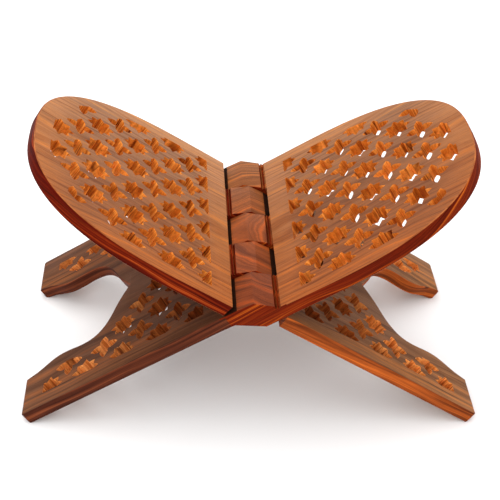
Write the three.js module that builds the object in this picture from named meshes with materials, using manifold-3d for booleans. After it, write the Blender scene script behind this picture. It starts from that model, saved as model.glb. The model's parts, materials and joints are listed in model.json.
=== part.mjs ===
// A folding quran stand (rehal), carved from one sheesham plank. A fine saw kerf splits the plank
// from both ends, and the two leaves that this leaves stay locked together in the middle by five
// interleaved wooden knuckles. There is no pin: each leaf's knuckles trap the other's.
//
// Frame: millimetres, +Z up, X across the open stand, Y along the hinge, and the origin on the
// floor straight below the hinge. The front of the stand faces -Y.

import * as THREE from 'three';
import * as BufferGeometryUtils from 'three/addons/utils/BufferGeometryUtils.js';
import Module from 'manifold-3d';

const wasm = await Module();
wasm.setup();

// ---- driving dimensions ----
const PLANK_THICKNESS = 20.8;
const KERF = 2.4;              // what the saw took out between the two leaves
const WIDTH = 175;             // the plank's width, along the hinge
const OPEN_WIDTH = 305;        // from foot to foot, with the stand open on its stop
const BOARD_LENGTH = 164;      // hinge line to the tip of a book board
const KNUCKLES = 5;
const KNUCKLE_GAP = 0.4;       // side play between neighbouring knuckles
const STOP_REACH = 16.9;       // hinge line to the square edge that a board or leg stops on
const STOP_GAP = 0.3;          // what is left between the leaves when the stand is open
const FOOT_FLAT = 2.4;         // worn flat where a foot's lower edge meets the floor

// Each leaf's face slopes at this angle when its lower edge lands on the other leaf's leg.
const HALF = PLANK_THICKNESS / 2;
const SLOPE = stopAngle();

// The feet stand on the worn flats along their lower edges.
const LEG_LENGTH = (OPEN_WIDTH / 2 - HALF * Math.sin(SLOPE)) / Math.cos(SLOPE);
const FOOT_WEAR = FOOT_FLAT / (Math.tan(SLOPE) + 1 / Math.tan(SLOPE));
const HINGE_HEIGHT = LEG_LENGTH * Math.sin(SLOPE) - (KERF / 2) * Math.cos(SLOPE) - FOOT_WEAR;

// The book board: straight sides, then one round end that is a little squarer than an ellipse.
const BOARD_SIDE_END = 48;
const ROUND_END_POWER = 2.6;

// The leg: a pointed ogee arch leaves two feet, their outer corners just taken off.
const FOOT_WIDTH = 36;
const FOOT_CHAMFER = 1.5;
const ARCH_APEX = 91;          // hinge line to the point of the arch

// The jali lattice: four-petal crosses and eight-point stars, each row of one set half a pitch
// off the other, sawn straight through.
const PITCH = 28.67;
const CROSS_REACH = 10.4;
const PETAL_WIDTH = 6.4;
const PETAL_BELLY = 4.8;       // a petal is widest this far from the cross's centre
const PETAL_ROOT = 2.6;        // half the width of the middle that the petals grow from
const STAR_REACH = 9.8;
const STAR_DIAGONAL = 9.1;
const STAR_VALLEY = 6.6;
const FIRST_BOARD_CROSS = 47.1;
const FIRST_LEG_CROSS = 51.5;
const HINGE_BORDER = 32;       // hinge line to the straight inner edge of the lattice
const BOARD_BORDER = 11;       // rim left beside the lattice along the board's sides
const TIP_BORDER = 11.8;
const LEG_BORDER = 13.2;
const FOOT_BORDER = 16;
const FEET_BORDER = 52.3;      // the middle of the plank to the lattice's inner edge on a foot
const ARCH_BORDER = 11.5;      // least distance from a flower's centre to the arch
const RIM_OVERLAP = 1.08;      // a flower may be centred this far out, as a part of the round end

// Half the angle between the leaves, so that the stop keeps its gap.
function stopAngle() {
  let slope = 0;
  for (let step = 0; step < 20; step++) {
    const lift = PLANK_THICKNESS * Math.cos(slope) + STOP_GAP / Math.cos(slope);
    slope = Math.asin(lift / (2 * STOP_REACH));
  }
  return slope;
}

// ---- solids ----
function toSolid(geometry) {
  geometry.deleteAttribute('normal');
  geometry.deleteAttribute('uv');
  const merged = BufferGeometryUtils.mergeVertices(geometry, 1e-4);
  return new wasm.Manifold(new wasm.Mesh({
    numProp: 3,
    vertProperties: new Float32Array(merged.attributes.position.array),
    triVerts: new Uint32Array(merged.index.array),
  }));
}

function toGeometry(solid) {
  const result = solid.getMesh();
  const geometry = new THREE.BufferGeometry();
  geometry.setAttribute('position', new THREE.BufferAttribute(result.vertProperties, 3));
  geometry.setIndex(new THREE.BufferAttribute(result.triVerts, 1));
  geometry.computeVertexNormals();
  return geometry;
}

// A flat outline in the leaf's plane, given thickness between two heights.
function plate(points, low, high) {
  const shape = new THREE.Shape(points);
  const geometry = new THREE.ExtrudeGeometry(shape, { depth: high - low, bevelEnabled: false });
  geometry.translate(0, 0, low);
  return toSolid(geometry);
}

// ---- outlines, in the leaf's own frame: x away from the hinge up the board, y along the hinge ----
function boardHalfWidth(x, border, tipBorder) {
  const run = Math.max(0, x - BOARD_SIDE_END) / (BOARD_LENGTH - tipBorder - BOARD_SIDE_END);
  return (WIDTH / 2 - border) * (1 - run ** ROUND_END_POWER) ** (1 / ROUND_END_POWER);
}

function boardOutline(start, border, tipBorder, steps) {
  const side = [];
  for (let i = 0; i < steps; i++) {
    const turn = Math.sin((Math.PI / 2) * (i / steps));
    const x = BOARD_SIDE_END + (BOARD_LENGTH - tipBorder - BOARD_SIDE_END) * turn;
    side.push(new THREE.Vector2(x, boardHalfWidth(x, border, tipBorder)));
  }
  const tip = new THREE.Vector2(BOARD_LENGTH - tipBorder, 0);
  const startCorner = new THREE.Vector2(start, WIDTH / 2 - border);
  const half = [startCorner, ...side, tip];
  const mirrored = half.slice(0, -1).reverse().map((p) => new THREE.Vector2(p.x, -p.y));
  return [...half, ...mirrored].reverse();
}

// One side of the ogee arch: from the foot's inner corner past its heel, waist and shoulder to
// the pointed apex.
function archSide() {
  const inner = WIDTH / 2 - FOOT_WIDTH;
  const heelLength = 9;
  const path = new THREE.Path();
  path.moveTo(-LEG_LENGTH, inner);
  path.lineTo(-LEG_LENGTH + heelLength, inner - 2.5);
  path.bezierCurveTo(-155, 45, -152, 41, -142, 41);
  path.bezierCurveTo(-134, 41, -130, 43, -122, 41.5);
  path.bezierCurveTo(-112, 39.5, -107, 30, -103, 21);
  path.quadraticCurveTo(-99, 11.5, -ARCH_APEX, 0);
  return path.getPoints(6);
}

function legOutline() {
  const arch = archSide();
  const halfWidth = WIDTH / 2;
  const half = [
    new THREE.Vector2(-STOP_REACH, halfWidth),
    new THREE.Vector2(-LEG_LENGTH + FOOT_CHAMFER, halfWidth),
    new THREE.Vector2(-LEG_LENGTH, halfWidth - FOOT_CHAMFER),
    ...arch,
  ];
  const mirrored = half.slice(0, -1).reverse().map((p) => new THREE.Vector2(p.x, -p.y));
  return [...half, ...mirrored];
}

// ---- the lattice's flowers ----
function flower(points, centreX, centreY) {
  const placed = points.map((p) => new THREE.Vector2(p.x + centreX, p.y + centreY));
  return plate(placed, -PLANK_THICKNESS, PLANK_THICKNESS);
}

function crossPoints() {
  const points = [];
  for (let petal = 0; petal < 4; petal++) {
    const along = new THREE.Vector2(1, 0).rotateAround(new THREE.Vector2(), (petal * Math.PI) / 2);
    const across = new THREE.Vector2(-along.y, along.x);
    const at = (out, side) => along.clone().multiplyScalar(out).addScaledVector(across, side);
    points.push(at(PETAL_ROOT, -PETAL_ROOT));
    points.push(at(PETAL_BELLY, -PETAL_WIDTH / 2));
    points.push(at(CROSS_REACH, 0));
    points.push(at(PETAL_BELLY, PETAL_WIDTH / 2));
  }
  return points;
}

function starPoints() {
  const points = [];
  for (let tip = 0; tip < 8; tip++) {
    const reach = tip % 2 ? STAR_DIAGONAL : STAR_REACH;
    const angle = (tip * Math.PI) / 4;
    const valley = angle + Math.PI / 8;
    points.push(new THREE.Vector2(Math.cos(angle) * reach, Math.sin(angle) * reach));
    points.push(new THREE.Vector2(Math.cos(valley) * STAR_VALLEY, Math.sin(valley) * STAR_VALLEY));
  }
  return points;
}

// Every lattice position from one row of crosses outwards: crosses, and stars between them.
function latticeSites(firstCross, direction) {
  const sites = [];
  for (let step = -1; step < 9; step++) {
    const isCross = step % 2 === 0;
    const x = direction * (firstCross + (step * PITCH) / 2);
    for (let row = -5; row <= 5; row++) {
      if ((row % 2 === 0) === isCross) {
        sites.push({ x, y: (row * PITCH) / 2, isCross });
      }
    }
  }
  return sites;
}

function cutFlowers(blank, sites, field) {
  let flowers = null;
  for (const site of sites) {
    const shape = flower(site.isCross ? crossPoints() : starPoints(), site.x, site.y);
    flowers = flowers ? flowers.add(shape) : shape;
  }
  return blank.subtract(flowers.intersect(field));
}

function carvedBoard() {
  const top = -KERF / 2;
  const blank = plate(boardOutline(STOP_REACH, 0, 0, 20), -HALF, top);
  const lattice = boardOutline(HINGE_BORDER, BOARD_BORDER, TIP_BORDER, 12);
  const field = plate(lattice, -PLANK_THICKNESS, PLANK_THICKNESS);
  const reach = BOARD_LENGTH - TIP_BORDER - BOARD_SIDE_END;
  const sites = latticeSites(FIRST_BOARD_CROSS, 1).filter(({ x, y }) => {
    const run = Math.max(0, x - BOARD_SIDE_END) / reach;
    const side = Math.abs(y) / (WIDTH / 2 - BOARD_BORDER);
    return run ** ROUND_END_POWER + side ** ROUND_END_POWER < RIM_OVERLAP;
  });
  return cutFlowers(blank, sites, field);
}

// The leg's lattice stops at a border that follows the arch.
function legLatticeOutline(fieldEnd) {
  const fieldHalf = WIDTH / 2 - LEG_BORDER;
  const path = new THREE.Path();
  path.moveTo(-HINGE_BORDER, fieldHalf);
  path.lineTo(fieldEnd, fieldHalf);
  path.lineTo(fieldEnd, FEET_BORDER);
  path.lineTo(-119, FEET_BORDER);
  path.bezierCurveTo(-108, 50, -101, 38, -93, 24);
  path.lineTo(-80, 0);
  const half = path.getPoints(5);
  const mirrored = half.slice(0, -1).reverse().map((p) => new THREE.Vector2(p.x, -p.y));
  return [...half, ...mirrored];
}

function carvedLeg() {
  const blank = plate(legOutline(), KERF / 2, HALF);
  const fieldEnd = -LEG_LENGTH + FOOT_BORDER;
  const field = plate(legLatticeOutline(fieldEnd), -PLANK_THICKNESS, PLANK_THICKNESS);
  const arch = archSide();
  const sites = latticeSites(FIRST_LEG_CROSS, -1).filter(({ x, y }) => {
    const centre = new THREE.Vector2(x, Math.abs(y));
    const clearance = Math.min(...arch.map((p) => p.distanceTo(centre)));
    const insideArch = arch.some((p, i) => i > 0 && Math.abs(y) < p.y && x < p.x
      && x >= arch[i - 1].x);
    return x > fieldEnd && clearance > ARCH_BORDER && !insideArch;
  });
  return cutFlowers(blank, sites, field);
}

// ---- the knuckles ----
// The section of one knuckle, with a lead into the leg (x < 0) and the board (x > 0). The top runs
// level with the leg, over a low ridge and down to a groove at the board's edge. The underside
// runs level with the board, then is planed off flat to the leg.
function knuckleSection() {
  const lead = 4;
  const legEnd = -STOP_REACH - lead;
  const boardEnd = STOP_REACH + lead;
  const ridge = [[-5.5, HALF], [4, 9.6], [15.3, 0.2]];
  const groove = [[15, -1.3], [STOP_REACH, -KERF / 2]];
  const top = [[legEnd, HALF], ...ridge, ...groove, [boardEnd, -KERF / 2]];
  const under = [[boardEnd, -HALF], [1.9, -HALF], [-14.5, 1], [-STOP_REACH, KERF / 2], [legEnd, KERF / 2]];
  return [...top, ...under].reverse().map(([x, z]) => new THREE.Vector2(x, z));
}

function knuckle(index) {
  const pitch = WIDTH / KNUCKLES;
  const play = (isOutside) => (isOutside ? 0 : KNUCKLE_GAP / 2);
  const front = -WIDTH / 2 + index * pitch + play(index === 0);
  const back = -WIDTH / 2 + (index + 1) * pitch - play(index === KNUCKLES - 1);
  const shape = new THREE.Shape(knuckleSection());
  const geometry = new THREE.ExtrudeGeometry(shape, { depth: back - front, bevelEnabled: false });
  geometry.rotateX(Math.PI / 2);
  geometry.translate(0, back, 0);
  return toSolid(geometry);
}

// Everything below the floor, seen from the leaf's own frame: it wears the feet's edges flat.
function belowFloor() {
  const depth = 20;
  const ground = new THREE.BoxGeometry(2 * OPEN_WIDTH, 2 * WIDTH, depth);
  ground.translate(0, 0, -HINGE_HEIGHT - depth / 2);
  ground.rotateY(SLOPE);
  return toSolid(ground);
}

// One leaf: a book board, the leg below it on the other side of the hinge, and its own knuckles.
function leafMesh(name, ownKnuckles, material) {
  let solid = carvedBoard().add(carvedLeg());
  for (const index of ownKnuckles) {
    solid = solid.add(knuckle(index));
  }
  solid = solid.subtract(belowFloor());
  const mesh = new THREE.Mesh(toGeometry(solid), material);
  mesh.name = name;
  mesh.rotation.y = -SLOPE;
  return mesh;
}

// ---- materials ----
const sheeshamWarm = new THREE.MeshStandardMaterial({ color: 0xb06a42, roughness: 0.5, metalness: 0 });
const sheeshamDark = new THREE.MeshStandardMaterial({ color: 0xa86440, roughness: 0.5, metalness: 0 });

// ---- assembly: both leaves hang on the one hinge line ----
const stand = new THREE.Group();
const hinge = new THREE.Group();
hinge.position.z = HINGE_HEIGHT;
stand.add(hinge);

// The outer leaf has the two end knuckles and the middle one: its board is on the right.
hinge.add(leafMesh('outer_leaf', [0, 2, 4], sheeshamWarm));

// The inner leaf has the two knuckles between: it is the same carving, turned half round.
const turned = new THREE.Group();
turned.rotation.z = Math.PI;
turned.add(leafMesh('inner_leaf', [1, 3], sheeshamDark));
hinge.add(turned);

export default stand;
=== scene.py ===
import json
import math
import random

import bpy
from mathutils import Euler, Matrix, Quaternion, Vector


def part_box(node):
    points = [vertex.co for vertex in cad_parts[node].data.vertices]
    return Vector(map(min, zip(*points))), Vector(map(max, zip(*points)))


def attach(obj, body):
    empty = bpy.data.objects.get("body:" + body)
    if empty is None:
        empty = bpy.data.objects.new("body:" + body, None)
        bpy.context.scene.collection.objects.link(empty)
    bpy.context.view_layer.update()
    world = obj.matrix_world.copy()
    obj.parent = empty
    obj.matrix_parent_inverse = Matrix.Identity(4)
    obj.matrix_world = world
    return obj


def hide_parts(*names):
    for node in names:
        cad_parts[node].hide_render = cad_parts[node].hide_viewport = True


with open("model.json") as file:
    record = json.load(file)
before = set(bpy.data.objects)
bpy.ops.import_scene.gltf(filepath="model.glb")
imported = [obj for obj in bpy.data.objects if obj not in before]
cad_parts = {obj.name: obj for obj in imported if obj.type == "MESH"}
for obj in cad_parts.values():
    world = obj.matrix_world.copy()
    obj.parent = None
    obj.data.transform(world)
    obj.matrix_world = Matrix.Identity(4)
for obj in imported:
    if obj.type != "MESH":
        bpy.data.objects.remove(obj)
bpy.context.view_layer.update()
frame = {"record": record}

# ---------------------------------------------------------------- Outer leaf
# The right book board and the left leg, with the two end knuckles and the middle one: all one
# piece of sheesham. The board is sawn from the lower half of the plank, and the leg from the
# upper half on the other side of the hinge. The knuckles are cut through its full thickness.

# ---- its sheesham, or Indian rosewood: rose-brown with mauve and orange bands and dark streaks ----
# The growth rings run round a pith far below the plank, so one solid pattern gives broad
# bands on the faces, fine stripes along the edges and curved figure on the cut knuckles.
hinge = frame["record"]["behaviour"]["joints"][0]["pos_m"]
rest_face = frame["record"]["mounts"][0]["axis"]
SLOPE = math.atan2(-rest_face[0], rest_face[2])


def add_node(tree, kind, sockets=None, **settings):
    """Adds one shader node; a socket is given a value or another node's output."""
    node = tree.nodes.new(kind)
    for setting, value in settings.items():
        setattr(node, setting, value)
    for socket, value in (sockets or {}).items():
        if isinstance(value, bpy.types.NodeSocket):
            tree.links.new(value, node.inputs[socket])
        else:
            node.inputs[socket].default_value = value
    return node


def calculate(tree, operation, *values):
    node = add_node(tree, "ShaderNodeMath", dict(enumerate(values)), operation=operation)
    return node.outputs[0]


def stretch(tree, position, scale, offset=(0, 0, 0)):
    """Scales a position along each axis, so that noise on it is drawn out along the grain."""
    sockets = {"Vector": position, "Scale": scale, "Location": offset}
    return add_node(tree, "ShaderNodeMapping", sockets).outputs[0]


def noise(tree, position, detail=2.0, roughness=0.5):
    sockets = {"Vector": position, "Scale": 1.0, "Detail": detail, "Roughness": roughness}
    return add_node(tree, "ShaderNodeTexNoise", sockets).outputs[0]


def grade(tree, value, low, high, start=0.0, end=1.0):
    sockets = {"Value": value, 1: low, 2: high, 3: start, 4: end}
    return add_node(tree, "ShaderNodeMapRange", sockets, clamp=True).outputs[0]


def new_group(name, inputs, outputs):
    tree = bpy.data.node_groups.new(name, "ShaderNodeTree")
    for socket, kind in inputs.items():
        tree.interface.new_socket(name=socket, in_out="INPUT", socket_type=kind)
    for socket, kind in outputs.items():
        tree.interface.new_socket(name=socket, in_out="OUTPUT", socket_type=kind)
    return tree, tree.nodes.new("NodeGroupInput"), tree.nodes.new("NodeGroupOutput")


def build_figure_group():
    """The wood's figure, from a position in the plank in millimetres with X along the grain."""
    tree, given, made = new_group(
        "sheesham_figure",
        {"Plank Position": "NodeSocketVector"},
        {name: "NodeSocketFloat" for name in ("Growth", "Streak", "Fibre", "Pores", "Relief")},
    )
    position = given.outputs["Plank Position"]
    # Wander: the rings drift sideways as they run along the plank.
    wander = noise(tree, stretch(tree, position, (0.006, 0.012, 0.012), (3.1, 1.7, 0.4)), 2.0)
    drift = calculate(tree, "MULTIPLY", calculate(tree, "SUBTRACT", wander, 0.5), 46.0)
    ripple = noise(tree, stretch(tree, position, (0.02, 0.05, 0.05), (7.0, 0, 0)), 1.0)
    shiver = calculate(tree, "MULTIPLY", calculate(tree, "SUBTRACT", ripple, 0.5), 7.0)
    parts = add_node(tree, "ShaderNodeSeparateXYZ", {"Vector": position}).outputs
    across = calculate(tree, "ADD", calculate(tree, "ADD", parts[1], 12.0), drift)
    down = calculate(tree, "ADD", parts[2], 62.0)
    radius = calculate(
        tree, "SQRT",
        calculate(tree, "ADD", calculate(tree, "POWER", across, 2.0), calculate(tree, "POWER", down, 2.0)),
    )
    radius = calculate(tree, "ADD", radius, shiver)
    ring = add_node(
        tree, "ShaderNodeCombineXYZ", {0: radius, 1: calculate(tree, "MULTIPLY", parts[0], 0.004)}
    ).outputs[0]
    growth = noise(tree, stretch(tree, ring, (0.17, 1, 1)), 4.0, 0.62)
    streak = noise(tree, stretch(tree, ring, (0.30, 2.0, 1), (11.0, 5.0, 0)), 3.0, 0.55)
    fibre = noise(tree, stretch(tree, position, (0.045, 1.1, 1.1)), 5.0, 0.65)
    pores = noise(tree, stretch(tree, position, (0.16, 2.6, 2.6), (0, 9.0, 4.0)), 2.0, 0.5)
    pore_mask = grade(tree, pores, 0.63, 0.70)
    relief = calculate(tree, "SUBTRACT", calculate(tree, "MULTIPLY", fibre, 0.6), pore_mask)
    tree.links.new(grade(tree, growth, 0.3, 0.7), made.inputs["Growth"])
    tree.links.new(grade(tree, streak, 0.56, 0.70), made.inputs["Streak"])
    tree.links.new(grade(tree, fibre, 0.25, 0.75), made.inputs["Fibre"])
    tree.links.new(pore_mask, made.inputs["Pores"])
    tree.links.new(relief, made.inputs["Relief"])
    return tree


def build_handling_group():
    """Oil, fingers and dust: patches of polish, smudges, and grime in among the flowers."""
    tree, given, made = new_group(
        "handled_surface",
        {"Plank Position": "NodeSocketVector"},
        {name: "NodeSocketFloat" for name in ("Polish", "Smudge", "Grime")},
    )
    position = given.outputs["Plank Position"]
    polish = noise(tree, stretch(tree, position, (0.02, 0.03, 0.03), (2.0, 2.0, 0)), 3.0)
    smudge = noise(tree, stretch(tree, position, (0.05, 0.11, 0.11), (0, 6.0, 1.0)), 4.0, 0.6)
    tree.links.new(grade(tree, polish, 0.3, 0.7), made.inputs["Polish"])
    tree.links.new(grade(tree, smudge, 0.35, 0.75), made.inputs["Smudge"])
    # Grime: it fades in beyond the hinge, and out again towards the ends and sides of the plank.
    parts = add_node(tree, "ShaderNodeSeparateXYZ", {"Vector": position}).outputs
    from_hinge = calculate(tree, "ABSOLUTE", parts[0])
    ragged = calculate(tree, "MULTIPLY", smudge, 8.0)
    from_middle = calculate(tree, "ADD", calculate(tree, "ABSOLUTE", parts[1]), ragged)
    beyond_hinge = grade(tree, from_hinge, 28, 42)
    short_of_end = grade(tree, from_hinge, 128, 156, 1, 0)
    in_length = calculate(tree, "MULTIPLY", beyond_hinge, short_of_end)
    grime = calculate(tree, "MULTIPLY", in_length, grade(tree, from_middle, 68, 84, 1, 0))
    tree.links.new(grime, made.inputs["Grime"])
    return tree


figure_group = build_figure_group()
handling_group = build_handling_group()

# Each finish: growth tones from dark to light, the streak's colour and strength, how much the
# fibre shows, the polish from glossiest to dullest, the depth of the open pores, and how much
# finer the figure is along, across and through the plank than on its face. Some also have their
# sheen, the tint that grime among the flowers gives them, a tint "across" the plank that paints
# shade at its front and sheen towards its back, and one "along" it that paints the board's
# shadow, darkest by the hinge and fading outwards.
FINISHES = {
    "board_face": {
        "tones": [(0.0, (0.24, 0.085, 0.026)), (0.28, (0.40, 0.16, 0.058)), (0.50, (0.44, 0.21, 0.098)),
                  (0.72, (0.54, 0.22, 0.072)), (1.0, (0.70, 0.29, 0.080))],
        "streak": (0.15, 0.046, 0.016), "streak_strength": 0.65, "fibre": 0.32,
        "polish": (0.50, 0.68), "relief": 0.3, "fineness": (1.2, 2.0, 2.0), "sheen": 0.12,
        "grime": (0.70, 0.74, 0.90),
        # Painted shade at the front and painted sheen towards the back.
        "across": [(0.0, (0.80, 0.51, 0.28)), (0.5, (0.85, 0.69, 0.51)), (1.0, (1, 1, 1))],
    },
    # Partly the edge grain, partly painted shade on the upright sides that the overhead light leaves dark.
    "board_rim": {
        "tones": [(0.0, (0.038, 0.003, 0.001)), (0.38, (0.10, 0.008, 0.002)), (0.62, (0.16, 0.018, 0.003)),
                  (0.80, (0.34, 0.065, 0.008)), (1.0, (0.52, 0.14, 0.022))],
        "streak": (0.015, 0.002, 0.001), "streak_strength": 0.8, "fibre": 0.3,
        "polish": (0.5, 0.65), "relief": 0.2, "fineness": (1, 1, 3.2), "sheen": 0.02,
    },
    "leg_face": {
        "tones": [(0.0, (0.072, 0.025, 0.009)), (0.35, (0.13, 0.049, 0.018)), (0.6, (0.17, 0.070, 0.029)),
                  (0.8, (0.22, 0.076, 0.023)), (1.0, (0.29, 0.10, 0.029))],
        "streak": (0.027, 0.009, 0.004), "streak_strength": 0.8, "fibre": 0.28,
        "polish": (0.45, 0.65), "relief": 0.25, "fineness": (1, 1.6, 1.6), "grime": (0.84, 0.86, 0.95),
        # Painted shadow from the board, darkest by the hinge.
        "along": [(0.0, (0.50, 0.48, 0.46)), (0.4, (0.80, 0.78, 0.76)), (1.0, (1, 1, 1))],
    },
    # Partly the edge grain, partly painted shade on the leg's upright edges.
    "leg_edge": {
        "tones": [(0.0, (0.041, 0.008, 0.002)), (0.35, (0.11, 0.022, 0.005)), (0.6, (0.19, 0.040, 0.009)),
                  (0.8, (0.29, 0.064, 0.013)), (1.0, (0.39, 0.10, 0.023))],
        "streak": (0.022, 0.004, 0.002), "streak_strength": 0.85, "fibre": 0.3,
        "polish": (0.42, 0.6), "relief": 0.2, "fineness": (1, 1, 3.0),
    },
    # A painted highlight along the rounded arris between face and rim, lighter than the rim.
    "arris": {
        "tones": [(0.0, (0.20, 0.048, 0.012)), (0.5, (0.36, 0.105, 0.028)), (1.0, (0.52, 0.17, 0.045))],
        "streak": (0.13, 0.025, 0.007), "streak_strength": 0.6, "fibre": 0.25,
        "polish": (0.30, 0.42), "relief": 0.15, "fineness": (1, 1.4, 1.4),
    },
    "knuckle": {
        "tones": [(0.0, (0.10, 0.028, 0.006)), (0.35, (0.22, 0.070, 0.016)), (0.6, (0.31, 0.105, 0.028)),
                  (0.8, (0.46, 0.13, 0.022)), (1.0, (0.62, 0.20, 0.030))],
        "streak": (0.050, 0.016, 0.005), "streak_strength": 0.7, "fibre": 0.28,
        "polish": (0.45, 0.60), "relief": 0.25, "fineness": (1.5, 1.5, 1.5), "sheen": 0.12,
        # Painted shade at the front and painted sheen towards the back.
        "across": [(0.0, (0.65, 0.35, 0.23)), (0.5, (0.87, 0.59, 0.45)), (1.0, (1, 1, 1))],
    },
    # Painted shade: near black for the knuckle's top in the V-notch under the other board's end, where
    # little light reaches.
    "painted_notch_shade": {
        "tones": [(0.0, (0.010, 0.003, 0.001)), (0.5, (0.022, 0.006, 0.002)), (1.0, (0.040, 0.010, 0.004))],
        "streak": (0.006, 0.002, 0.001), "streak_strength": 0.6, "fibre": 0.3,
        "polish": (0.8, 0.9), "relief": 0.3, "fineness": (1, 1, 1),
    },
    "sawn_wall": {
        "tones": [(0.0, (0.24, 0.036, 0.003)), (0.4, (0.56, 0.14, 0.014)), (1.0, (0.98, 0.36, 0.065))],
        "streak": (0.09, 0.012, 0.002), "streak_strength": 0.9, "fibre": 0.45,
        "polish": (0.6, 0.75), "relief": 0.5, "fineness": (3.4, 3.4, 0.25),
    },
    "leg_wall": {
        "tones": [(0.0, (0.24, 0.045, 0.006)), (0.4, (0.56, 0.17, 0.035)), (1.0, (0.95, 0.42, 0.13))],
        "streak": (0.09, 0.014, 0.003), "streak_strength": 0.9, "fibre": 0.45,
        "polish": (0.6, 0.75), "relief": 0.5, "fineness": (3.4, 3.4, 0.25),
        # Painted shadow from the board on the flower walls, darkest by the hinge.
        "along": [(0.0, (0.22, 0.14, 0.12)), (0.35, (0.38, 0.26, 0.20)), (0.55, (1, 1, 1)),
                  (1.0, (1, 1, 1))],
    },
}


def colour_ramp(tree, value, stops):
    node = add_node(tree, "ShaderNodeValToRGB", {"Fac": value})
    ramp = node.color_ramp
    while len(ramp.elements) < len(stops):
        ramp.elements.new(0.5)
    for element, (place, colour) in zip(ramp.elements, stops):
        element.position = place
        element.color = (*colour, 1)
    return node.outputs[0]


def multiply_colours(tree, colour, other):
    return add_node(tree, "ShaderNodeVectorMath", {0: colour, 1: other}, operation="MULTIPLY").outputs[0]


def finish_wood(name, finish, turn, tint):
    """One finish of sheesham on one leaf; turn is how that leaf lies from the plank."""
    paint = bpy.data.materials.new(name)
    paint.use_nodes = True
    tree = paint.node_tree
    surface = tree.nodes["Principled BSDF"]
    surface.inputs["Specular IOR Level"].default_value = finish.get("sheen", 0.05)
    here = add_node(tree, "ShaderNodeTexCoord").outputs["Object"]
    plank = add_node(
        tree, "ShaderNodeMapping",
        {"Vector": here, "Location": hinge, "Rotation": turn, "Scale": (0.001, 0.001, 0.001)},
        vector_type="TEXTURE",
    ).outputs[0]
    figure = add_node(tree, "ShaderNodeGroup", node_tree=figure_group)
    handled = add_node(tree, "ShaderNodeGroup", node_tree=handling_group)
    tree.links.new(stretch(tree, plank, finish["fineness"]), figure.inputs["Plank Position"])
    tree.links.new(plank, handled.inputs["Plank Position"])
    tone = colour_ramp(tree, figure.outputs["Growth"], finish["tones"])
    streak_amount = calculate(tree, "MULTIPLY", figure.outputs["Streak"], finish["streak_strength"])
    streaked = add_node(
        tree, "ShaderNodeMix",
        {"Factor": streak_amount, 6: tone, 7: (*finish["streak"], 1)}, data_type="RGBA",
    ).outputs[2]
    shade = grade(tree, figure.outputs["Fibre"], 0.0, 1.0, 1 - finish["fibre"], 1 + finish["fibre"])
    shade = calculate(tree, "MULTIPLY", shade, grade(tree, figure.outputs["Pores"], 0, 1, 1, 0.6))
    shade = calculate(tree, "MULTIPLY", shade, grade(tree, handled.outputs["Smudge"], 0, 1, 1, 0.86))
    shaded = multiply_colours(tree, streaked, shade)
    tinted = multiply_colours(tree, shaded, tint)
    place = add_node(tree, "ShaderNodeSeparateXYZ", {"Vector": plank}).outputs
    # Painted light: the "across" ramp paints shade at the front and sheen towards the back, and the "along"
    # ramp paints the board's shadow, darkest by the hinge.
    from_front = grade(tree, place[1], -88, 88)
    from_hinge = grade(tree, calculate(tree, "ABSOLUTE", place[0]), 20, 174)
    untinted = [(0.0, (1, 1, 1))]
    painted_front_shade_back_sheen = colour_ramp(tree, from_front, finish.get("across", untinted))
    painted_board_shadow = colour_ramp(tree, from_hinge, finish.get("along", untinted))
    painted_light_tint = multiply_colours(tree, painted_front_shade_back_sheen, painted_board_shadow)
    darkened = multiply_colours(tree, tinted, painted_light_tint)
    grime_tints = [(0.0, (1, 1, 1)), (1.0, finish.get("grime", (1, 1, 1)))]
    grime = colour_ramp(tree, handled.outputs["Grime"], grime_tints)
    tree.links.new(multiply_colours(tree, darkened, grime), surface.inputs["Base Color"])
    glossy, dull = finish["polish"]
    roughness = grade(tree, handled.outputs["Polish"], 0.0, 1.0, glossy, dull)
    tree.links.new(roughness, surface.inputs["Roughness"])
    bump = add_node(
        tree, "ShaderNodeBump",
        {"Height": figure.outputs["Relief"], "Strength": finish["relief"], "Distance": 0.0005},
    )
    tree.links.new(bump.outputs[0], surface.inputs["Normal"])
    return paint


# ---- its board, leg and knuckles, drawn flat with X up the board and Z through the plank ----
MM = 0.001
HALF_PLANK = 10.4 * MM
HALF_KERF = 1.2 * MM
PLANK_WIDTH = 175 * MM
STOP_REACH = 16.9 * MM
ARRIS = 0.8 * MM
BOARD_LENGTH = 164 * MM
BOARD_SIDE_END = 48 * MM
ROUND_END_POWER = 2.6
KNUCKLES = 5
KNUCKLE_GAP = 0.4 * MM
ROW_WIDTH = PLANK_WIDTH / KNUCKLES


def mirrored_outline(half):
    """The outline of a shape that is the same on both sides of Y = 0."""
    return half + [(x, -y) for x, y in reversed(half) if y > 0]


def draw_outline(points):
    """Draws a closed outline corner by corner, and fills it."""
    bpy.ops.object.select_all(action="DESELECT")
    bpy.ops.mesh.primitive_plane_add(size=MM, location=(0, 0, 0))
    bpy.ops.object.mode_set(mode="EDIT")
    bpy.ops.mesh.merge(type="CENTER")
    bpy.ops.transform.translate(value=(*points[0], 0))
    for (x, y), (next_x, next_y) in zip(points, points[1:] + points[:1]):
        step = {"value": (next_x - x, next_y - y, 0)}
        bpy.ops.mesh.extrude_vertices_move(TRANSFORM_OT_translate=step)
    bpy.ops.mesh.select_all(action="SELECT")
    bpy.ops.mesh.remove_doubles(threshold=0.001 * MM)
    bpy.ops.mesh.edge_face_add()


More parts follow.
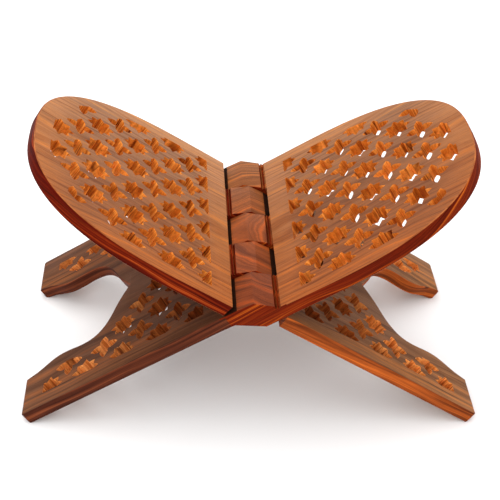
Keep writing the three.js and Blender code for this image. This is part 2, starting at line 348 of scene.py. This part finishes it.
def raise_outline(heights, widths):
    """Raises the outline just drawn through heights, each level scaled to its width."""
    bpy.ops.transform.translate(value=(0, 0, heights[0]))
    bpy.ops.transform.resize(value=(widths[0], widths[0], 1), center_override=(0, 0, 0))
    for below in range(len(heights) - 1):
        rise = {"value": (0, 0, heights[below + 1] - heights[below])}
        bpy.ops.mesh.extrude_region_move(TRANSFORM_OT_translate=rise)
        widen = widths[below + 1] / widths[below]
        bpy.ops.transform.resize(value=(widen, widen, 1), center_override=(0, 0, 0))
    bpy.ops.mesh.select_all(action="SELECT")
    bpy.ops.mesh.normals_make_consistent(inside=False)
    bpy.ops.object.mode_set(mode="OBJECT")
    return bpy.context.object


def bevel_edges(piece, chosen, size, segments):
    """Rounds the edges that chosen(start, end) picks."""
    bpy.ops.object.mode_set(mode="EDIT")
    bpy.ops.mesh.select_all(action="DESELECT")
    bpy.ops.mesh.select_mode(type="EDGE")
    bpy.ops.object.mode_set(mode="OBJECT")
    for edge in piece.data.edges:
        start, end = (piece.data.vertices[index].co for index in edge.vertices)
        edge.select = chosen(start, end)
    bpy.ops.object.mode_set(mode="EDIT")
    bpy.ops.mesh.bevel(offset=size, segments=segments, affect="EDGES")
    bpy.ops.mesh.select_mode(type="VERT")
    bpy.ops.object.mode_set(mode="OBJECT")


def is_free_arris(start, end):
    """A plate's arrises, all but the crisp ones of its end beside the hinge."""
    beside_hinge = max(abs(start.x), abs(end.x)) < STOP_REACH + 0.01 * MM
    return abs(start.z - end.z) < 0.01 * MM and not beside_hinge


def paint_plate(plate, finishes, face_finish, edge_finish, arris_finish):
    """The flat faces, the upright edges (darker with painted shade) and the arrises between get a finish
    each.
    """
    used = list(dict.fromkeys((face_finish, edge_finish, arris_finish)))
    for finish in used:
        plate.data.materials.append(finishes[finish])
    for face in plate.data.polygons:
        lies_flat = abs(face.normal.z) > 0.97
        stands_up = abs(face.normal.z) < 0.3
        finish = face_finish if lies_flat else edge_finish if stands_up else arris_finish
        face.material_index = used.index(finish)


def board_outline(start, side, tip, steps, power):
    """Straight sides, then a round end a little squarer than an ellipse."""
    half = [(start, side)]
    for step in range(steps):
        run = math.sin(math.pi / 2 * step / steps)
        x = BOARD_SIDE_END + (tip - BOARD_SIDE_END) * run
        half.append((x, side * (1 - run ** power) ** (1 / power)))
    return mirrored_outline(half + [(tip, 0)])


def combine(body, tool, operation):
    """Joins the tool to the body, or cuts with it, and uses the tool up."""
    bpy.ops.object.select_all(action="DESELECT")
    bpy.context.view_layer.objects.active = body
    body.select_set(True)
    bpy.ops.object.modifier_add(type="BOOLEAN")
    cut = body.modifiers[-1]
    cut.object = tool
    cut.operation = operation
    cut.solver = "EXACT"
    cut.material_mode = "TRANSFER"
    bpy.ops.object.modifier_apply(modifier=cut.name)
    bpy.data.objects.remove(tool)
    bpy.ops.object.mode_set(mode="EDIT")
    bpy.ops.mesh.select_all(action="SELECT")
    bpy.ops.mesh.remove_doubles(threshold=0.004 * MM)
    bpy.ops.mesh.fill_holes(sides=8)
    bpy.ops.object.mode_set(mode="OBJECT")


def draw_bar(section, front, back, finish):
    """A bar of one section along the hinge; the section is in X and Z."""
    draw_outline(section)
    bar = raise_outline([0, back - front], [1, 1])
    bar.rotation_euler.x = math.pi / 2
    bar.location.y = back
    bpy.ops.object.transform_apply(location=True, rotation=True, scale=True)
    bar.data.materials.append(finish)
    return bar


def carve_board(finishes, rows):
    """The board's lower edge is cut back underneath wherever it meets the other leaf."""
    draw_outline(board_outline(STOP_REACH, PLANK_WIDTH / 2, BOARD_LENGTH, 40, ROUND_END_POWER))
    board = raise_outline([-HALF_PLANK, -HALF_KERF], [1, 1])
    bevel_edges(board, is_free_arris, ARRIS, 3)
    paint_plate(board, finishes, "board_face", "board_rim", "arris")
    top = -2.2 * MM
    bottom = -HALF_PLANK - MM
    wedge = [(15 * MM, top), (STOP_REACH, top), (18.3 * MM, bottom), (15 * MM, bottom)]
    for row in range(KNUCKLES):
        if row not in rows:
            front = row * ROW_WIDTH - PLANK_WIDTH / 2
            start = front - (MM if row == 0 else 0)
            end = front + ROW_WIDTH + (MM if row == KNUCKLES - 1 else 0)
            combine(board, draw_bar(wedge, start, end, finishes["board_rim"]), "DIFFERENCE")
    return board


def bezier(start, pull, push, end, steps):
    """Points along a cubic curve, without its start."""
    points = []
    for step in range(1, steps + 1):
        t = step / steps
        weights = ((1 - t) ** 3, 3 * t * (1 - t) ** 2, 3 * t * t * (1 - t), t ** 3)
        corners = (start, pull, push, end)
        points.append(tuple(sum(w * c[axis] for w, c in zip(weights, corners)) for axis in (0, 1)))
    return points


# The plank reaches this far from the hinge line to the ends of the feet.
LEG_LENGTH = (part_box("outer_leaf")[0].x + HALF_PLANK * math.sin(SLOPE)) / -math.cos(SLOPE)
FOOT_INNER = 51.5 * MM


def leg_outline():
    """Straight sides and feet, with a pointed ogee arch sawn out between the feet."""
    corner = 1.5 * MM
    half_width = PLANK_WIDTH / 2
    heel = (-LEG_LENGTH + 9 * MM, FOOT_INNER - 2.5 * MM)
    waist = (-142 * MM, 41 * MM)
    shoulder = (-122 * MM, 41.5 * MM)
    lancet = (-103 * MM, 21 * MM)
    apex = (-91 * MM, 0)
    half = [
        (-STOP_REACH, half_width), (-LEG_LENGTH + corner, half_width),
        (-LEG_LENGTH, half_width - corner), (-LEG_LENGTH, FOOT_INNER), heel,
    ]
    half += bezier(heel, (-155 * MM, 45 * MM), (-152 * MM, 41 * MM), waist, 10)
    half += bezier(waist, (-134 * MM, 41 * MM), (-130 * MM, 43 * MM), shoulder, 8)
    half += bezier(shoulder, (-112 * MM, 39.5 * MM), (-107 * MM, 30 * MM), lancet, 10)
    half += bezier(lancet, (-100.4 * MM, 14.7 * MM), (-96.4 * MM, 7.7 * MM), apex, 6)
    return mirrored_outline(half)


def carve_leg(finishes):
    draw_outline(leg_outline())
    leg = raise_outline([HALF_KERF, HALF_PLANK], [1, 1])
    bevel_edges(leg, is_free_arris, ARRIS, 3)
    paint_plate(leg, finishes, "leg_face", "leg_edge", "leg_edge")
    return leg


def is_knuckle_end(start, end):
    """The edges round a knuckle's ends, but for those inside its two grooves."""
    in_groove = all(13 * MM < point.x < 17 * MM and point.z > -3 * MM for point in (start, end))
    return abs(start.y - end.y) < 0.01 * MM and not in_groove


def carve_knuckle(row, finishes):
    """One knuckle, cut to its row: a low ridge, then two fine grooves where the board begins."""
    lead = 4 * MM
    let_in = 0.03 * MM
    surface = HALF_PLANK - let_in
    inside = HALF_KERF + let_in
    section = [
        (-STOP_REACH - lead, surface), (-8 * MM, surface), (3.5 * MM, 9.6 * MM), (13.6 * MM, 0.9 * MM),
        (13.4 * MM, -1.3 * MM), (14.8 * MM, -0.4 * MM), (15.4 * MM, -2 * MM), (STOP_REACH, -inside),
        (STOP_REACH + lead, -inside), (STOP_REACH + lead, -surface), (1.9 * MM, -surface),
        (-14.5 * MM, MM), (-STOP_REACH, inside), (-STOP_REACH - lead, inside),
    ]
    front = (row - KNUCKLES / 2) * ROW_WIDTH + (KNUCKLE_GAP / 2 if row else let_in)
    back = (row + 1 - KNUCKLES / 2) * ROW_WIDTH - (KNUCKLE_GAP / 2 if row < KNUCKLES - 1 else let_in)
    knuckle = draw_bar(section, front, back, finishes["knuckle"])
    bevel_edges(knuckle, is_knuckle_end, 0.4 * MM, 2)
    for finish in ("board_rim", "painted_notch_shade"):
        knuckle.data.materials.append(finishes[finish])
    # Painted shade: the knuckle's ends and the bevels between rows take the dark rim finish for the gaps
    # between knuckles, and so do the two grooves; the flat top in the V-notch takes near black.
    for face in knuckle.data.polygons:
        in_notch = face.normal.z > 0.99 and face.center.x < -8 * MM
        in_groove = face.normal.x > 0.85 and face.center.x > 13 * MM
        if abs(face.normal.y) > 0.97:
            face.material_index = 1
        elif in_groove or abs(face.normal.y) > 0.2:
            face.material_index = 1
        elif in_notch:
            face.material_index = 2
    return knuckle


# ---- the lattice: four-petal crosses and eight-point stars, sawn right through by hand ----
PITCH = 28.67 * MM


def cross_outline():
    """Four almond petals round a square middle; those along the hinge are longer and slimmer."""
    root = 2.6 * MM
    points = []
    for petal in range(4):
        reach, width = ((9.9 * MM, 6.8 * MM), (10.5 * MM, 6.2 * MM))[petal % 2]
        angle = petal * math.pi / 2
        along = Vector((math.cos(angle), math.sin(angle)))
        across = Vector((-along.y, along.x))
        side = []
        for step in range(6):
            run = step / 6
            swell = math.sin(math.pi * (0.34 + 0.66 * run)) ** 0.85
            side.append((root + (reach - root) * run, max(width / 2 * swell, root * (1 - 3 * run))))
        points += [tuple(along * out - across * half) for out, half in side]
        points.append(tuple(along * reach))
        points += [tuple(along * out + across * half) for out, half in reversed(side[1:])]
    return points


def star_outline():
    """Eight broad, leaf-like points, long on the axes and shorter between them."""
    valley = 6.5 * MM
    points = []
    for tip in range(8):
        reach = 9.1 * MM if tip % 2 else 9.9 * MM
        for turn, radius in ((-0.5, valley), (-0.28, 7.7 * MM), (0, reach), (0.28, 7.7 * MM)):
            bearing = (tip + turn) * math.pi / 4
            points.append((math.cos(bearing) * radius, math.sin(bearing) * radius))
    return points


def lattice_sites(first_cross, direction):
    """Where the crosses and the stars between them fall, out from the hinge."""
    for step in range(-1, 9):
        is_cross = step % 2 == 0
        for row in range(-5, 6):
            if (row % 2 == 0) == is_cross:
                yield direction * (first_cross + step * PITCH / 2), row * PITCH / 2, is_cross


def saw_lattice(slab, sites, border, low, high, wall_paint, seed):
    """Saws every flower that lies inside the border, each a little different from the next."""
    middle = (low + high) / 2
    levels = [low - 0.8 * MM, low + 0.4 * MM, middle, high - 0.4 * MM, high + 0.8 * MM]
    blanks = []
    for outline in (cross_outline(), star_outline()):
        draw_outline(outline)
        blank = raise_outline(levels, [1.10, 0.97, 0.97, 1, 1.10])
        blank.data.materials.append(wall_paint)
        blanks.append(blank)
    cross, star = blanks
    hand = random.Random(seed)
    flowers = []
    for x, y, is_cross in sites:
        pattern = cross if is_cross else star
        flower = pattern.copy()
        flower.data = pattern.data.copy()
        bpy.context.collection.objects.link(flower)
        flower.location = (x + hand.uniform(-0.4, 0.4) * MM, y + hand.uniform(-0.4, 0.4) * MM, 0)
        flower.rotation_euler.z = math.radians(hand.uniform(-5, 5))
        flower.scale = (hand.uniform(0.95, 1.06), hand.uniform(0.95, 1.06), 1)
        flowers.append(flower)
    for blank in blanks:
        bpy.data.objects.remove(blank)
    bpy.ops.object.select_all(action="DESELECT")
    for flower in flowers:
        flower.select_set(True)
    bpy.context.view_layer.objects.active = flowers[0]
    bpy.ops.object.transform_apply(location=True, rotation=True, scale=True)
    bpy.ops.object.join()
    bpy.ops.object.mode_set(mode="EDIT")
    bpy.ops.mesh.select_all(action="DESELECT")
    bpy.ops.object.mode_set(mode="OBJECT")
    for vertex in flowers[0].data.vertices:
        vertex.select = low < vertex.co.z < high
    bpy.ops.object.mode_set(mode="EDIT")
    bpy.ops.transform.vertex_random(offset=0.18 * MM, seed=seed)
    bpy.ops.mesh.select_all(action="SELECT")
    bpy.ops.mesh.quads_convert_to_tris()
    bpy.ops.object.mode_set(mode="OBJECT")
    draw_outline(border)
    field = raise_outline([low - MM, high + MM], [1, 1])
    field.data.materials.append(wall_paint)
    combine(flowers[0], field, "INTERSECT")
    combine(slab, flowers[0], "DIFFERENCE")


HINGE_BORDER = 32 * MM
FIRST_BOARD_CROSS = 47.1 * MM
FIRST_LEG_CROSS = 51.5 * MM


def saw_board_lattice(board, finishes, seed):
    """The flowers stop at a border inside the round end, which clips the outermost ones."""
    side = PLANK_WIDTH / 2 - 11 * MM
    tip = BOARD_LENGTH - 11.8 * MM
    rim_overlap = 1.08
    sites = []
    for x, y, is_cross in lattice_sites(FIRST_BOARD_CROSS, 1):
        run = max(0, x - BOARD_SIDE_END) / (tip - BOARD_SIDE_END)
        if run ** ROUND_END_POWER + (abs(y) / side) ** ROUND_END_POWER < rim_overlap:
            sites.append((x, y, is_cross))
    squarer = ROUND_END_POWER + 0.25
    border = board_outline(HINGE_BORDER, side, tip, 24, squarer)
    saw_lattice(board, sites, border, -HALF_PLANK, -HALF_KERF, finishes["sawn_wall"], seed)


def saw_leg_lattice(leg, finishes, seed):
    """The leg's flowers are cut off along the arch and stop short of the feet."""
    side = PLANK_WIDTH / 2 - 13.2 * MM
    foot = -LEG_LENGTH + 16 * MM
    feet_border = 52.3 * MM
    clearance = 11.5 * MM
    outline = [Vector(point) for point in leg_outline()]
    arch = [point for point in outline if point.x > -LEG_LENGTH and abs(point.y) < FOOT_INNER]
    arch = [point for point in arch if point.x < -STOP_REACH - MM]
    sites = []
    for x, y, is_cross in lattice_sites(FIRST_LEG_CROSS, -1):
        centre = Vector((x, y))
        inside = any(abs(y) < abs(p.y) and abs(x - p.x) < 4 * MM for p in arch)
        if x > foot and not inside and min((centre - p).length for p in arch) > clearance:
            sites.append((x, y, is_cross))
    half = [(-HINGE_BORDER, side), (foot, side), (foot, feet_border), (-119 * MM, feet_border)]
    half += bezier(half[-1], (-108 * MM, 50 * MM), (-101 * MM, 38 * MM), (-93 * MM, 24 * MM), 6)
    border = mirrored_outline(half + [(-80 * MM, 0)])
    saw_lattice(leg, sites, border, HALF_KERF, HALF_PLANK, finishes["leg_wall"], seed)


def wear_feet(leaf):
    """Rubs the feet's lower edges flat where they stand."""
    bpy.ops.object.mode_set(mode="EDIT")
    bpy.ops.mesh.select_all(action="SELECT")
    bpy.ops.mesh.bisect(plane_co=(0, 0, 0), plane_no=(0, 0, 1), use_fill=True, clear_inner=True)
    bpy.ops.object.mode_set(mode="OBJECT")


def carve_leaf(name, rows, turn_about, tints, seed):
    """One leaf, sawn flat and then tilted to its place on the hinge."""
    from_plank = (math.pi, -SLOPE, math.pi) if turn_about else (0, -SLOPE, 0)
    finishes = {
        key: finish_wood(f"{name}_{key}", finish, from_plank, tints.get(key, (1, 1, 1)))
        for key, finish in FINISHES.items()
    }
    leaf = carve_board(finishes, rows)
    saw_board_lattice(leaf, finishes, seed)
    leg = carve_leg(finishes)
    saw_leg_lattice(leg, finishes, seed + 1)
    combine(leaf, leg, "UNION")
    for row in rows:
        combine(leaf, carve_knuckle(row, finishes), "UNION")
    leaf.name = f"{name}_carved"
    leaf.rotation_euler = (0, -SLOPE, math.pi if turn_about else 0)
    leaf.location = hinge
    bpy.ops.object.select_all(action="DESELECT")
    bpy.context.view_layer.objects.active = leaf
    leaf.select_set(True)
    bpy.ops.object.transform_apply(location=True, rotation=True, scale=True)
    wear_feet(leaf)
    bpy.ops.object.shade_smooth_by_angle(angle=math.radians(28))
    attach(leaf, name)
    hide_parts(name)
    return leaf


# ---- the leaf itself, with knuckles 1, 3 and 5 ----
OUTER_TINTS = {
    "board_face": (0.84, 0.78, 0.72), "board_rim": (1.3, 1.3, 1.0), "leg_face": (0.88, 0.80, 0.78),
    "leg_edge": (0.62, 0.66, 1.1),
}
outer_leaf = carve_leaf("outer_leaf", (0, 2, 4), False, OUTER_TINTS, 37)

# ---------------------------------------------------------------- Inner leaf
# The left book board and the right leg, with the two knuckles between the outer leaf's three.
# It is cut from the same plank in the same way, turned half round, and is redder at the rim
# and paler on the leg.
INNER_TINTS = {
    "board_rim": (0.78, 0.48, 0.48), "leg_face": (1.65, 1.7, 1.6), "leg_edge": (1.8, 1.7, 1.1),
    "leg_wall": (1.3, 1.3, 1.2),
}
inner_leaf = carve_leaf("inner_leaf", (1, 3), True, INNER_TINTS, 11)

# ---------------------------------------------------------------- Camera
# A long lens on a tripod in front of the stand and a little to its left, looking down into
# the open boards. A small shift keeps the stand centred without tipping the camera.
CAMERA_PLACE = (-0.0523, -0.6555, 0.5357)
CAMERA_HEADING = math.radians(3.26)
CAMERA_DIP = math.radians(37.22)
CAMERA_LEAN = math.radians(2.11)

aim = Euler((math.pi / 2 - CAMERA_DIP, 0, -CAMERA_HEADING)).to_quaternion()
lean = Quaternion((0, 0, 1), CAMERA_LEAN)
bpy.ops.object.camera_add(location=CAMERA_PLACE, rotation=(aim @ lean).to_euler())
camera = bpy.context.object
camera.name = "studio_camera"
camera.data.sensor_width = 36
camera.data.lens = 83.3
camera.data.shift_x = 0.05
camera.data.shift_y = 0.10
bpy.context.scene.camera = camera

# ---------------------------------------------------------------- Floor and light
# A seamless white table with one broad soft box overhead, a weaker one from the front left,
# and a bright surround, so that the hollows stay readable and the shadow is faint.
bpy.ops.object.select_all(action="DESELECT")
bpy.ops.mesh.primitive_plane_add(size=6, location=(0, 0, 0))
floor = bpy.context.object
floor.name = "studio_floor"
floor_paint = bpy.data.materials.new("white_table")
floor_paint.use_nodes = True
floor_surface = floor_paint.node_tree.nodes["Principled BSDF"]
floor_surface.inputs["Base Color"].default_value = (0.92, 0.92, 0.92, 1)
floor_surface.inputs["Roughness"].default_value = 0.8
floor.data.materials.append(floor_paint)

surround = bpy.data.worlds.new("white_surround")
surround.use_nodes = True
surround.node_tree.nodes["Background"].inputs["Color"].default_value = (1, 1, 1, 1)
surround.node_tree.nodes["Background"].inputs["Strength"].default_value = 1.2
bpy.context.scene.world = surround
bpy.context.scene.view_settings.view_transform = "Standard"

SOFT_BOXES = {
    "overhead_box": {"place": (-0.25, 0.25, 1.3), "size": 1.5, "watts": 8},
    "front_box": {"place": (-0.7, -1.1, 0.8), "size": 1.0, "watts": 5},
}
for box_name, box in SOFT_BOXES.items():
    toward_stand = Vector((0, 0, 0.1)) - Vector(box["place"])
    bpy.ops.object.light_add(
        type="AREA", location=box["place"], rotation=toward_stand.to_track_quat("-Z", "Y").to_euler()
    )
    light = bpy.context.object
    light.name = box_name
    light.data.size = box["size"]
    light.data.energy = box["watts"]
